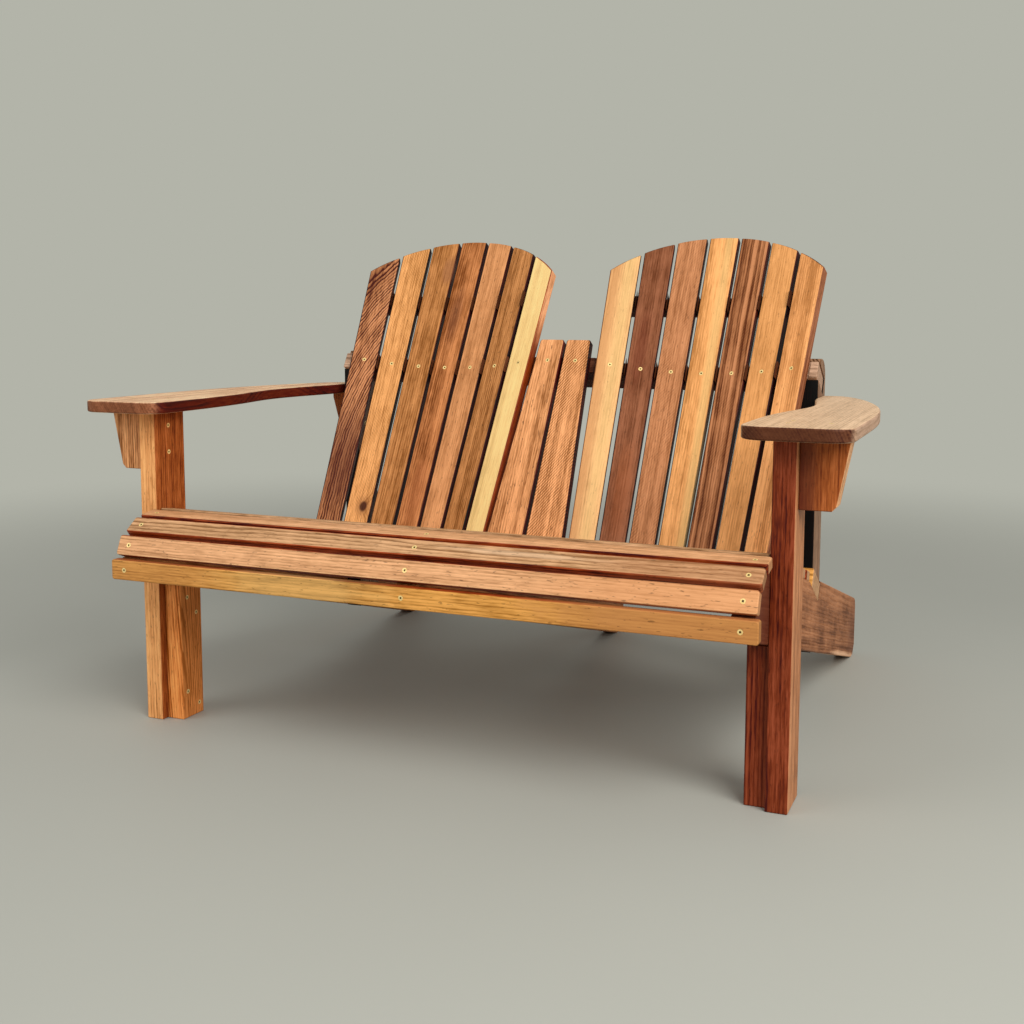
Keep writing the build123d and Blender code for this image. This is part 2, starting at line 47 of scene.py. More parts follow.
class Graph:
    """A node tree, with short ways to add and join nodes."""

    def __init__(self, tree):
        self.tree = tree
        self.tree.nodes.clear()

    def node(self, kind, **settings):
        made = self.tree.nodes.new(kind)
        for key, value in settings.items():
            setattr(made, key, value)
        return made

    def put(self, socket, value):
        if isinstance(value, bpy.types.NodeSocket):
            self.tree.links.new(value, socket)
        else:
            socket.default_value = value

    def math(self, operation, a, b=0.0, c=0.0, clamp=False):
        made = self.node("ShaderNodeMath", operation=operation, use_clamp=clamp)
        for socket, value in zip(made.inputs, (a, b, c)):
            self.put(socket, value)
        return made.outputs[0]

    def hypotenuse(self, a, b):
        squares = self.math("ADD", self.math("MULTIPLY", a, a), self.math("MULTIPLY", b, b))
        return self.math("SQRT", squares)

    def vector(self, operation, a, b=(0, 0, 0)):
        made = self.node("ShaderNodeVectorMath", operation=operation)
        self.put(made.inputs[0], a)
        self.put(made.inputs[1], b)
        return made.outputs["Value" if operation == "LENGTH" else "Vector"]

    def split(self, vector):
        made = self.node("ShaderNodeSeparateXYZ")
        self.put(made.inputs[0], vector)
        return made.outputs

    def noise(self, vector, scale, detail, rough, seed):
        made = self.node("ShaderNodeTexNoise", noise_dimensions="4D")
        self.put(made.inputs["Vector"], vector)
        self.put(made.inputs["W"], seed)
        self.put(made.inputs["Scale"], scale)
        self.put(made.inputs["Detail"], detail)
        self.put(made.inputs["Roughness"], rough)
        return made.outputs["Fac"]

    def step(self, value, low, high):
        """0 below low, 1 above high, smooth between."""
        made = self.node("ShaderNodeMapRange", interpolation_type="SMOOTHSTEP")
        self.put(made.inputs["Value"], value)
        self.put(made.inputs["From Min"], low)
        self.put(made.inputs["From Max"], high)
        return made.outputs["Result"]

    def fade(self, value, low, high):
        """1 below low, 0 above high, smooth between."""
        return self.math("SUBTRACT", 1.0, self.step(value, low, high))

    def mix(self, share, first, second, blend="MIX"):
        made = self.node("ShaderNodeMix", data_type="RGBA", blend_type=blend, clamp_factor=True)
        self.put(made.inputs[MIX_SHARE], share)
        self.put(made.inputs[MIX_FIRST], first)
        self.put(made.inputs[MIX_SECOND], second)
        return made.outputs[MIX_RESULT]

    def bump(self, height, strength, distance):
        made = self.node("ShaderNodeBump")
        self.put(made.inputs["Strength"], strength)
        self.put(made.inputs["Distance"], distance)
        self.put(made.inputs["Height"], height)
        return made.outputs["Normal"]

    def principled(self, **values):
        """A principled shader; a socket's name is written with _ for each space."""
        made = self.node("ShaderNodeBsdfPrincipled")
        for key, value in values.items():
            self.put(made.inputs[key.replace("_", " ")], value)
        return made.outputs["BSDF"]

    def output(self, shader, kind="ShaderNodeOutputMaterial"):
        made = self.node(kind)
        self.put(made.inputs["Surface"], shader)


def new_material(name):
    material = bpy.data.materials.new(name)
    material.use_nodes = True
    return material


# Cosines at which two directions count as parallel and as square
PARALLEL = 0.995
SQUARE = 0.02
# Normals are rounded to this many places to be gathered, and one group's lie this near to each other
NORMAL_PLACES = 2
SAME_NORMAL = 0.006


def board_axes(obj):
    """Directions along the grain and through the thickness, from the faces of a plain board."""
    mesh = obj.data
    count = len(mesh.polygons)
    normals = np.zeros(count * 3)
    areas = np.zeros(count)
    mesh.polygons.foreach_get("normal", normals)
    mesh.polygons.foreach_get("area", areas)
    normals = normals.reshape(-1, 3)

    def main_direction(weights):
        best = normals[int(np.argmax(weights))]
        near = np.abs(normals @ best) > PARALLEL
        signs = np.sign(normals[near] @ best)
        total = (normals[near] * (signs * weights[near])[:, None]).sum(0)
        return total / np.linalg.norm(total)

    def heaviest(allowed):
        seen = {}
        for normal, area, ok in zip(normals, areas, allowed):
            if ok:
                key = tuple(np.round(np.abs(normal), NORMAL_PLACES))
                seen[key] = seen.get(key, 0.0) + area
        key = max(seen, key=seen.get)
        match = np.all(np.abs(np.abs(normals) - np.array(key)) < SAME_NORMAL, axis=1) & allowed
        return main_direction(np.where(match, areas, 0.0))

    through = heaviest(np.ones(count, bool))
    across = heaviest(np.abs(normals @ through) < SQUARE)
    across = across - through * (across @ through)
    across /= np.linalg.norm(across)
    return Vector(np.cross(across, through)), Vector(through)


# What forward counts against up, where a seat slat's upper face is told from its lower one
FORWARD_SHARE = 0.3


def axes_of(name, obj):
    """The board's own axes: along the grain, across, through."""
    x, y, z = Vector((1, 0, 0)), Vector((0, 1, 0)), Vector((0, 0, 1))
    if "seat_slat" in name:
        along, through = x, board_axes(obj)[1]
        if through.z - FORWARD_SHARE * through.y < 0:
            through = -through
    elif "back_slat" in name or "centre_slat" in name:
        along, through = board_axes(obj)
        if along.z < 0:
            along = -along
        if through.y > 0:
            through = -through
    elif "stringer" in name:
        along, through = Vector((0, math.cos(SLOPE), -math.sin(SLOPE))), x
    elif "rail" in name:
        along, through = x, Vector((0, math.sin(RECLINE), math.cos(RECLINE)))
    elif "arm" in name:
        along, through = y, z
    elif "bracket" in name:
        along, through = z, -y
    else:
        along, through = z, x
    return along, through.cross(along), through


# A board's figure where its look says nothing else. Lengths are in metres, and places are
# counted from the board's middle along its own axes: along, across, through.
PLAIN = dict(
    heart=(0.16, -0.1),  # where the rings' heart line lies, across and through
    lean=(0.0, 0.0),  # how far the heart line strays for each metre along, across and through
    bend=None,  # where along the board the grain starts to sweep sideways, and how strongly
    pitch=0.0045,  # from ring to ring
    drift=0.0016,  # slow wander of the grain
    wave=0.0003,  # quick wander of the grain
    ripples=(9.0, 34.0, 34.0),  # cycles of the quick wander per metre
    stripes=70.0,  # cycles of the stripes per metre, counted as the rings are
    bold=0.6,  # strength of rings, and then of stripes, streaks, clouds and fibres
    stripe=0.55,
    streak=0.5,
    cloud=0.3,
    fibre=0.55,
    pores=0.35,  # how dark pores are
    end=0.3,  # how dark sawn ends are
    knots=(),  # each: place along and across, size
    combs=(),  # rows of short strokes, each: direction along and across, spacing, strength
    faces=(),  # each: side, where its tones begin and are full, tones, and where along they fade, if so
    tips=(),  # each: distance from the middle where its tones begin and are full, tones
    bands=(),  # stripes along the board, each: place across, half its width, share, wood or painted shade
    patches=(),  # each: place along and across, reach along and across, share, wood, painted shade or painted highlight
)

# Cycles of each kind of grain per metre, along, across and through the board
DRIFTS = (1.1, 7.0, 7.0)
STREAKS = (5.0, 150.0, 150.0)
FIBRES = (34.0, 430.0, 430.0)
CLOUDS = (13.0, 17.0, 17.0)
PORES = (95.0, 360.0, 360.0)
STRIPES_ALONG = 0.9
# Noise lies about a half, and times this it spreads by about one
SPREAD = 9.0
# Steps between the seeds of boards, and of the rings of boards
BOARD_SEED = 1.7
RING_SEED = 7.3
# What each kind of noise adds to its board's seed
DRIFT_SEED = 0
RIPPLE_SEED = 3
STRIPE_SEED = 7
STREAK_SEED = 17
FIBRE_SEED = 23
PORE_SEED = 29
CLOUD_SEED = 31
# Shares of a ring at which its dark late wood sets in and breaks off
LATE_START = (0.3, 0.85)
LATE_STOP = (0.9, 1.0)
# The weakest ring against the strongest, the mean of rings, and how strongly they darken
WEAKEST_RING = 0.25
RING_MEAN = 0.2
RING_GAIN = 3.2
# How fast dark and pale parts reach their full tone
TONE_GAIN = 0.62
# How far a face looks along the board where a sawn end begins and is full, and what its figure loses
END_FACING = (0.6, 0.95)
END_CALM = 0.6
# Knots are longer along the board. Times a knot's size: how ragged it is, how far rings swell round
# it and out to where, and between which distances its core and halo fade
KNOT_ALONG = 0.7
KNOT_RAGGED = 0.06
KNOT_SWELL = 1.2
KNOT_REACH = 3.0
KNOT_CORE = (0.5, 1.0)
KNOT_HALO = (0.8, 2.2)
CORE_SHARE = 0.92
HALO_SHARE = 0.45
# Combs: how the strokes waver, and the clouds in which they come and go
COMB_WAVER = 0.7
COMB_CLOUDS = (-1.6, 1.4)
# Bands: how far they follow the grain's wander, and, times half their width, how ragged their edge
# is and where it fades
BAND_FOLLOW = 0.6
BAND_RAGGED = 0.12
BAND_EDGE = (0.2, 1.5)
# Patches, times their reach: how clouds and streaks fray their edge, and where it fades
PATCH_CLOUD = 0.1
PATCH_STREAK = 0.08
PATCH_EDGE = (0.35, 1.1)
# Noise above which a pore begins and is full
PORE_EDGE = (0.63, 0.74)
# Relief of the surface, and its gloss
FIBRE_HEIGHT = 0.08
RING_HEIGHT = -0.5
RELIEF = 0.0006
RELIEF_STRENGTH = 0.25
ROUGHNESS = 0.5
RING_ROUGHNESS = 0.1
SPECULAR = 0.15


class Grain(Graph):
    """The figure of one board."""

    def __init__(self, tree, name, obj, look):
        super().__init__(tree)
        self.look = dict(PLAIN, **look)
        self.set_axes(name, obj)
        self.ripple = self.grain(self.look["ripples"], 2.0, 0.5, RIPPLE_SEED)
        self.thin = self.grain(STREAKS, 3.0, 0.6, STREAK_SEED)
        self.fibre = self.grain(FIBRES, 2.0, 0.6, FIBRE_SEED)
        self.cloud = self.grain(CLOUDS, 3.0, 0.55, CLOUD_SEED)
        drift = self.grain(DRIFTS, 1.0, 0.5, DRIFT_SEED)
        drift = self.math("MULTIPLY", drift, self.look["drift"])
        self.shift = self.math("MULTIPLY_ADD", self.ripple, self.look["wave"], drift)
        self.set_reach()
        self.set_ring()

    def set_axes(self, name, obj):
        """Places and facings along the board's own axes."""
        low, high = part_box(name)
        turn = Matrix(axes_of(name, obj)).transposed().to_euler()
        coordinates = self.node("ShaderNodeTexCoord")
        place = self.node("ShaderNodeMapping", vector_type="TEXTURE")
        self.put(place.inputs["Vector"], coordinates.outputs["Object"])
        self.put(place.inputs["Location"], (low + high) / 2)
        self.put(place.inputs["Rotation"], turn)
        self.place = place.outputs["Vector"]
        self.x, self.y, self.z = self.split(self.place)
        face = self.node("ShaderNodeMapping", vector_type="TEXTURE")
        self.put(face.inputs["Vector"], coordinates.outputs["Normal"])
        self.put(face.inputs["Rotation"], turn)
        self.facing = dict(zip(("along", "across", "through"), self.split(face.outputs["Vector"])))
        self.ends = self.step(self.math("ABSOLUTE", self.facing["along"]), *END_FACING)

    def centred(self, noise):
        """Noise about zero with a spread of about one."""
        return self.math("MULTIPLY", self.math("SUBTRACT", noise, 0.5), SPREAD)

    def grain(self, cycles, detail, rough, offset):
        """Noise drawn out along the board."""
        stretched = self.vector("MULTIPLY", self.place, cycles)
        return self.centred(self.noise(stretched, 1.0, detail, rough, self.look["seed"] + offset))

    def set_reach(self):
        """Distance from the heart line, which may lean or bend, with swellings round the knots."""
        heart_y, heart_z = self.look["heart"]
        lean_y, lean_z = self.look["lean"]
        off_y = self.math("MULTIPLY_ADD", self.x, lean_y, self.math("SUBTRACT", self.y, heart_y))
        off_z = self.math("MULTIPLY_ADD", self.x, lean_z, self.math("SUBTRACT", self.z, heart_z))
        if self.look["bend"]:
            bend_x, bend = self.look["bend"]
            past = self.math("MAXIMUM", self.math("SUBTRACT", self.x, bend_x), 0.0)
            off_y = self.math("MULTIPLY_ADD", self.math("MULTIPLY", past, past), bend, off_y)
        self.reach = self.math("ADD", self.hypotenuse(off_y, off_z), self.shift)
        self.knots = []
        for knot_x, knot_y, size in self.look["knots"]:
            near_x = self.math("MULTIPLY", self.math("SUBTRACT", self.x, knot_x), KNOT_ALONG)
            near_y = self.math("SUBTRACT", self.y, knot_y)
            gap = self.hypotenuse(near_x, near_y)
            gap = self.math("MULTIPLY_ADD", self.ripple, size * KNOT_RAGGED, gap)
            swell = self.fade(gap, 0.0, size * KNOT_REACH)
            self.reach = self.math("MULTIPLY_ADD", swell, size * KNOT_SWELL, self.reach)
            self.knots.append((gap, size))

    def set_ring(self):
        """The dark late wood of the rings, each of its own strength."""
        count = self.math("DIVIDE", self.reach, self.look["pitch"])
        part = self.math("FRACT", count)
        late = self.math("MULTIPLY", self.step(part, *LATE_START), self.fade(part, *LATE_STOP))
        each = self.node("ShaderNodeTexWhiteNoise", noise_dimensions="1D")
        ring_seed = self.look["seed"] * RING_SEED
        self.put(each.inputs["W"], self.math("ADD", self.math("FLOOR", count), ring_seed))
        strength = self.math("MULTIPLY_ADD", each.outputs["Value"], 1 - WEAKEST_RING, WEAKEST_RING)
        self.ring = self.math("MULTIPLY", late, strength)

    def stripe(self):
        """Broad stripes that follow the rings."""
        line = self.node("ShaderNodeCombineXYZ")
        self.put(line.inputs[0], self.math("MULTIPLY", self.reach, self.look["stripes"]))
        self.put(line.inputs[1], self.math("MULTIPLY", self.x, STRIPES_ALONG))
        noise = self.noise(line.outputs[0], 1.0, 2.0, 0.5, self.look["seed"] + STRIPE_SEED)
        return self.centred(noise)

    def depth(self):
        """How dark the wood is at a point, below zero where it is pale."""
        gain = RING_GAIN * self.look["bold"]
        depth = self.math("MULTIPLY", self.math("SUBTRACT", self.ring, RING_MEAN), gain)
        depth = self.math("MULTIPLY_ADD", self.stripe(), self.look["stripe"], depth)
        depth = self.math("MULTIPLY_ADD", self.thin, self.look["streak"], depth)
        depth = self.math("MULTIPLY_ADD", self.cloud, self.look["cloud"], depth)
        depth = self.math("MULTIPLY_ADD", self.fibre, self.look["fibre"], depth)
        for toward_x, toward_y, spacing, strength in self.look["combs"]:
            march = self.math("MULTIPLY_ADD", self.x, toward_x, self.math("MULTIPLY", self.y, toward_y))
            waver = self.math("MULTIPLY", self.ripple, COMB_WAVER)
            turns = self.math("MULTIPLY_ADD", march, 2 * math.pi / spacing, waver)
            stroke = self.math("MULTIPLY", self.math("SINE", turns), self.step(self.cloud, *COMB_CLOUDS))
            depth = self.math("MULTIPLY_ADD", stroke, strength, depth)
        return self.math("MULTIPLY", depth, self.math("MULTIPLY_ADD", self.ends, -END_CALM, 1.0))

    def side_share(self, side, start, full, span):
        """How far a point belongs to a side, such as across for both edges or -across for one."""
        value = self.facing[side.lstrip("+-")]
        if side.startswith("-"):
            value = self.math("MULTIPLY", value, -1.0)
        elif not side.startswith("+"):
            value = self.math("ABSOLUTE", value)
        share = self.step(value, start, full)
        if span:
            share = self.math("MULTIPLY", share, self.fade(self.x, *span))
        return share

    def stained(self):
        """The wood's colour, with the tones of its faces and tips, some of which are painted shade."""
        tones = {key: self.look[key] for key in ("light", "mid", "dark")}
        others = []
        for side, start, full, other, *span in self.look["faces"]:
            others.append((self.side_share(side, start, full, span), other))
        for start, full, other in self.look["tips"]:
            others.append((self.step(self.math("ABSOLUTE", self.x), start, full), other))
        for share, other in others:
            tones = {key: self.mix(share, tones[key], other[key]) for key in tones}
        depth = self.depth()
        paler = self.math("MULTIPLY", depth, -TONE_GAIN, clamp=True)
        darker = self.math("MULTIPLY", depth, TONE_GAIN, clamp=True)
        return self.mix(darker, self.mix(paler, tones["mid"], tones["light"]), tones["dark"])

    def marked(self, colour):
        """The colour with bands, patches and knots of other woods, some of them painted shade or a painted
        highlight.
        """

        def add(base, where, share, other):
            return self.mix(self.math("MULTIPLY", where, share), base, tone(*other))

        for band_y, half, share, other in self.look["bands"]:
            across = self.math("MULTIPLY_ADD", self.shift, BAND_FOLLOW, self.y)
            away = self.math("ABSOLUTE", self.math("SUBTRACT", across, band_y))
            away = self.math("MULTIPLY_ADD", self.thin, half * BAND_RAGGED, away)
            colour = add(colour, self.fade(away, *(half * edge for edge in BAND_EDGE)), share, other)
        for spot_x, spot_y, long, wide, share, other in self.look["patches"]:
            away_x = self.math("DIVIDE", self.math("SUBTRACT", self.x, spot_x), long)
            away_y = self.math("DIVIDE", self.math("SUBTRACT", self.y, spot_y), wide)
            away = self.hypotenuse(away_x, away_y)
            away = self.math("MULTIPLY_ADD", self.cloud, PATCH_CLOUD, away)
            away = self.math("MULTIPLY_ADD", self.thin, PATCH_STREAK, away)
            colour = add(colour, self.fade(away, *PATCH_EDGE), share, other)
        for gap, size in self.knots:
            halo = self.fade(gap, *(size * edge for edge in KNOT_HALO))
            core = self.fade(gap, *(size * edge for edge in KNOT_CORE))
            colour = add(colour, halo, HALO_SHARE, HALO)
            colour = add(colour, core, CORE_SHARE, CORE)
        return colour

    def worn(self, colour):
        """The colour with short dark pores and darker sawn ends."""
        stretched = self.vector("MULTIPLY", self.place, PORES)
        pores = self.noise(stretched, 1.0, 1.0, 0.5, self.look["seed"] + PORE_SEED)
        pore = self.math("MULTIPLY", self.step(pores, *PORE_EDGE), self.look["pores"])
        end = self.math("MULTIPLY", self.ends, self.look["end"])
        shade = self.math("MULTIPLY", self.math("SUBTRACT", 1.0, pore), self.math("SUBTRACT", 1.0, end))
        grey = self.node("ShaderNodeCombineColor")
        for socket in grey.inputs[:3]:
            self.put(socket, shade)
        return self.mix(1.0, colour, grey.outputs[0], "MULTIPLY")


def wood(name, obj, look):
    """Oiled softwood: rings round a heart line, stripes, fibres, pores, knots, and faces of other woods or
    painted shade.
    """
    material = new_material("wood_" + name)
    g = Grain(material.node_tree, name, obj, look)
    height = g.math("MULTIPLY_ADD", g.fibre, FIBRE_HEIGHT, g.math("MULTIPLY", g.ring, RING_HEIGHT))
    shader = g.principled(
        Base_Color=g.worn(g.marked(g.stained())),
        Roughness=g.math("MULTIPLY_ADD", g.ring, RING_ROUGHNESS, ROUGHNESS),
        Specular_IOR_Level=SPECULAR,
        Normal=g.bump(height, RELIEF_STRENGTH, RELIEF))
    g.output(shader)
    return material


# Brass: cycles of stains and of turning marks per metre, the noise at which it goes from bright to
# dull, how near walls bring painted shade into the drive, and how open its darkest and brightest parts are
STAINS = 260.0
TURNING_MARKS = 2600.0
STAIN_EDGE = (0.35, 0.7)
DRIVE_SHADE = 0.003
DRIVE_EDGE = (0.4, 0.8)
BRIGHT_BRASS = (252, 226, 156)
DULL_BRASS = (230, 190, 116)
DRIVE_PAINTED_SHADE = (60, 34, 16)


def brass():
    """Bright yellow brass with turning marks and a little tarnish, with painted shade inside the drive."""
    material = new_material("brass")
    g = Graph(material.node_tree)
    place = g.node("ShaderNodeTexCoord").outputs["Object"]
    stain = g.noise(place, STAINS, 3.0, 0.6, 1.0)
    marks = g.noise(place, TURNING_MARKS, 2.0, 0.5, 2.0)
    inside = g.node("ShaderNodeAmbientOcclusion", samples=8, only_local=True)
    g.put(inside.inputs["Distance"], DRIVE_SHADE)
    colour = g.mix(g.step(stain, *STAIN_EDGE), tone(*BRIGHT_BRASS), tone(*DULL_BRASS))
    # Painted shade: the drive's hollow darkens where its walls are near
    colour = g.mix(g.step(inside.outputs["AO"], *DRIVE_EDGE), tone(*DRIVE_PAINTED_SHADE), colour)
    shader = g.principled(
        Base_Color=colour,
        Metallic=0.35,
        Roughness=g.math("MULTIPLY_ADD", stain, 0.2, 0.34),
        Normal=g.bump(marks, strength=0.2, distance=0.0002))
    g.output(shader)
    return material


# The woods of the bench, each by its middle colour in screen values; some also serve as painted shade or
# highlight
SAPWOOD = (250, 210, 140)
PEACH = (240, 190, 140)
BLUSH = (235, 185, 145)
STRAW = (220, 185, 120)
WHEAT = (215, 165, 110)
CHALKY = (215, 180, 145)
PALE_TAN = (215, 160, 115)
TAN = (210, 145, 95)
GOLDEN = (220, 155, 95)
AMBER = (230, 160, 100)
HONEY = (200, 140, 70)
ORANGE = (230, 140, 75)
COPPER = (210, 130, 70)
GREYED = (190, 145, 105)
DRIFTWOOD = (175, 140, 115)
OCHRE = (180, 120, 70)
CINNAMON = (175, 110, 65)
ROSE_BROWN = (185, 125, 85)
WALNUT = (155, 100, 65)
ASH = (140, 105, 80)
UMBER = (130, 80, 55)
RUSSET = (155, 85, 45)
CHESTNUT = (140, 60, 30)
DEEP_RED = (120, 55, 35)
DARK_RED = (85, 35, 25)
DUSK = (90, 55, 40)
# SHADOW and NEAR_BLACK are only painted shade; DUSK, CHESTNUT and DARK_RED are woods that some faces also
# take as painted shade
SHADOW = (60, 25, 15)
NEAR_BLACK = (30, 20, 15)
# A knot's core, and the wood round it
CORE = (62, 22, 10)
HALO = (132, 80, 42)

# How far a wood's dark and pale parts lie from its middle, times the root of the value
DARKER = -3.6
PALER = 2.4
# What the surface's sheen adds to a colour, and the least that is left of a channel without it
SHEEN = 0.012
LEAST = 0.002


def shades(mid, contrast):
    """Light, middle and dark parts of a wood, from its middle colour."""

    def part(reach):
        values = (m + reach * contrast * math.sqrt(m) for m in mid)
        colour = tone(*(min(255, max(0, value)) for value in values))
        return (*(max(LEAST, channel - SHEEN) for channel in colour[:3]), 1.0)

    return dict(light=part(PALER), mid=part(0.0), dark=part(DARKER))


# Painted shade: the narrow sides of back slats, dark as the gaps between them
SIDE_SHADE = shades(SHADOW, 1.1)
# Painted shade: the front and rear edges of seat slats, dark as the gaps between them
LIP_SHADE = shades(CHESTNUT, 1.6)


def board(mid, contrast, faces=(), **more):
    """A board of one wood, with other woods or painted shade on some of its faces."""
    return dict(shades(mid, contrast), faces=faces, **more)


def slat(mid, contrast, faces=(), **more):
    """A back slat: its narrow sides are dark with painted shade, as in the gaps between slats."""
    return board(mid, contrast, [("across", 0.1, 0.35, SIDE_SHADE), *faces], **more)


def rung(mid, contrast, faces=(), **more):
    """A seat slat: its front and rear edges are dark with painted shade, as in the gaps between slats."""
    return board(mid, contrast, [("across", 0.04, 0.2, LIP_SHADE), *faces], **more)


# The boards that the photo shows, each with a look of its own
LOOKS = {
    "left_back_slat_1": slat(
        WALNUT, 1.8, bold=1.25, stripe=0.3, heart=(0.2, -0.04), bend=(-0.2, 0.6), pitch=0.0056,
        wave=0.0011, ripples=(24.0, 40.0, 40.0),
        patches=[(-0.17, 0.0, 0.15, 0.06, 0.5, DARK_RED)]),
    "left_back_slat_2": slat(
        GOLDEN, 0.9, bold=0.4, stripe=0.4,
        combs=[(0.7, -0.7, 0.0054, 0.35)], knots=[(-0.29, -0.013, 0.011)]),
    "left_back_slat_3": slat(
        OCHRE, 1.0, bold=0.4, cloud=0.45,
        patches=[(0.33, -0.022, 0.045, 0.02, 0.5, UMBER)]),
    "left_back_slat_4": slat(
        CINNAMON, 1.2, bold=0.4, stripe=0.8, stripes=55.0, cloud=0.5,
        patches=[(0.2, 0.004, 0.09, 0.022, 0.4, UMBER), (-0.25, -0.008, 0.11, 0.024, 0.4, RUSSET)]),
    "left_back_slat_5": slat(TAN, 0.7, bold=0.35, cloud=0.5, pores=0.42),
    "left_back_slat_6": slat(OCHRE, 1.1, bold=0.4, streak=0.6, pores=0.6),
    "left_back_slat_7": slat(
        SAPWOOD, 0.4, bold=0.25, stripe=0.7, stripes=50.0, pores=0.12,
        faces=[("-across", 0.04, 0.2, shades(CHESTNUT, 1.0)),
               ("-across", 0.7, 0.95, shades(ROSE_BROWN, 1.8)),
               ("-across", 0.7, 0.95, shades(CHESTNUT, 1.0), 0.1, 0.24)]),
    "left_centre_slat": slat(
        TAN, 1.2, bold=0.35, stripe=0.45, streak=0.4, pores=0.55,
        # Painted shade: its narrow sides are darker still, as in the gaps beside it
        faces=[("across", 0.1, 0.35, shades(DARK_RED, 1.0))]),
    "right_centre_slat": slat(
        TAN, 1.2, bold=0.3, stripe=0.35, combs=[(0.57, 0.82, 0.005, 1.3)]),
    "right_back_slat_1": slat(
        WHEAT, 0.7, bold=0.3, stripe=0.8, stripes=40.0, pores=0.2,
        bands=[(0.021, 0.014, 0.55, OCHRE), (-0.01, 0.013, 0.4, STRAW)]),
    "right_back_slat_2": slat(
        UMBER, 0.8, bold=0.35, stripe=0.5, cloud=0.5,
        patches=[(-0.22, -0.004, 0.13, 0.024, 0.4, RUSSET), (0.12, 0.006, 0.12, 0.02, 0.35, DEEP_RED)]),
    "right_back_slat_3": slat(
        ROSE_BROWN, 0.8, bold=0.35, combs=[(0.57, 0.82, 0.005, 0.6)]),
    "right_back_slat_4": slat(
        GOLDEN, 0.8, bold=0.3, stripe=0.85, stripes=42.0, pores=0.2,
        bands=[(-0.013, 0.011, 0.5, STRAW)]),
    "right_back_slat_5": slat(
        WALNUT, 1.4, bold=0.5, stripe=1.4, stripes=115.0, streak=0.3, fibre=0.35,
        combs=[(0.57, 0.82, 0.005, 0.25)]),
    "right_back_slat_6": slat(GOLDEN, 0.6, bold=0.3, stripe=0.8, stripes=46.0),
    "right_back_slat_7": slat(
        AMBER, 0.8, bold=0.4, stripe=0.7, stripes=50.0,
        faces=[("-across", 0.15, 0.5, shades(UMBER, 1.2))]),
    "seat_slat_01": board(
        HONEY, 1.1, bold=0.5, stripe=0.5, pores=0.45,
        # Painted shade: the side under the next slat's overhang is dark
        faces=[("+across", 0.7, 0.95, LIP_SHADE)],
        patches=[(-0.56, 0.0, 0.22, 0.06, 0.4, OCHRE), (-0.2, 0.0, 0.2, 0.06, 0.35, STRAW),
                 (0.5, 0.0, 0.3, 0.06, 0.75, OCHRE)]),
    "seat_slat_02": board(
        PALE_TAN, 0.8, bold=0.4, stripe=0.4, pores=0.5,
        # Painted shade on its rear edge and front face, and a painted highlight, paler, on its front
        # rounding where it catches light
        faces=[("+across", 0.15, 0.4, LIP_SHADE), ("-across", 0.1, 0.35, shades(PEACH, 0.7)),
               ("-across", 0.65, 0.95, LIP_SHADE)],
        patches=[(0.5, 0.0, 0.3, 0.06, 0.6, TAN)]),
    "seat_slat_03": rung(
        GREYED, 1.0, bold=0.8, heart=(0.05, -0.07), wave=0.0005, drift=0.003,
        patches=[(0.52, 0.0, 0.22, 0.05, 0.4, WALNUT), (0.2, 0.004, 0.16, 0.008, 0.5, CHALKY)]),
    "seat_slat_04": rung(PALE_TAN, 0.8, bold=0.6),
    "seat_slat_05": board(GREYED, 1.2, bold=0.6),
    "left_front_post": board(
        AMBER, 1.0, bold=0.4, pores=0.4,
        faces=[("+through", 0.25, 0.65, shades(RUSSET, 1.2))]),
    "right_front_post": board(
        DEEP_RED, 1.3, bold=0.35, stripe=0.45,
        faces=[("+through", 0.75, 0.95, shades(ROSE_BROWN, 1.0))]),
    "left_leg_block": board(
        ORANGE, 1.3, bold=1.0, heart=(0.03, 0.0), lean=(0.0, 0.06), pitch=0.006, drift=0.003,
        faces=[("+through", 0.4, 0.8, shades(COPPER, 0.8))]),
    "right_leg_block": board(DEEP_RED, 1.1, bold=0.6),
    "left_arm": board(
        BLUSH, 1.3, bold=0.45, stripe=0.6, end=0.0,
        faces=[("-across", 0.3, 0.7, shades(DARK_RED, 0.8)), ("-along", 0.35, 0.8, shades(UMBER, 1.8))]),
    "right_arm": board(
        CHALKY, 0.5, bold=0.5, end=0.0,
        faces=[("-across", 0.3, 0.7, shades(DRIFTWOOD, 0.7)), ("-along", 0.2, 0.6, shades(DUSK, 0.9))]),
    "left_front_bracket": board(TAN, 1.5, bold=0.5),
    "right_front_bracket": board(
        RUSSET, 1.2, bold=0.25, stripe=0.5, streak=0.3,
        # Painted shade: a dark band down its left part, where the arm above shades it
        bands=[(0.036, 0.026, 0.75, DARK_RED)],
        faces=[("-across", 0.3, 0.7, shades(PALE_TAN, 1.2))]),
    "right_stringer": board(
        WALNUT, 1.2, bold=0.2, stripe=0.6, cloud=0.5, fibre=0.3, wave=0.0006, heart=(0.1, -0.06),
        pitch=0.0055,
        # Painted shade: its front end and the front part of its side are dark, where shade falls
        faces=[("-along", 0.3, 0.7, shades(DARK_RED, 1.1))],
        patches=[(-0.58, 0.0, 0.3, 0.25, 0.85, DARK_RED), (0.56, 0.02, 0.11, 0.14, 0.4, UMBER),
                 # Painted highlight: a pale strip along the tail's lower edge, where a rounded edge would
                 # catch light
                 (0.42, -0.052, 0.22, 0.009, 0.9, BLUSH)]),
    "lower_rail": board(
        HONEY, 1.2, end=0.0,
        faces=[("along", 0.6, 0.9, shades(GREYED, 1.3))]),
    # Painted shade: the rail is dark between its tips, where it lies in shade behind the back slats; the
    # tips show its own colour
    "middle_rail": board(
        DUSK, 1.2, bold=0.25, end=0.0,
        tips=[(0.5, 0.53, shades(DRIFTWOOD, 1.3))]),
}
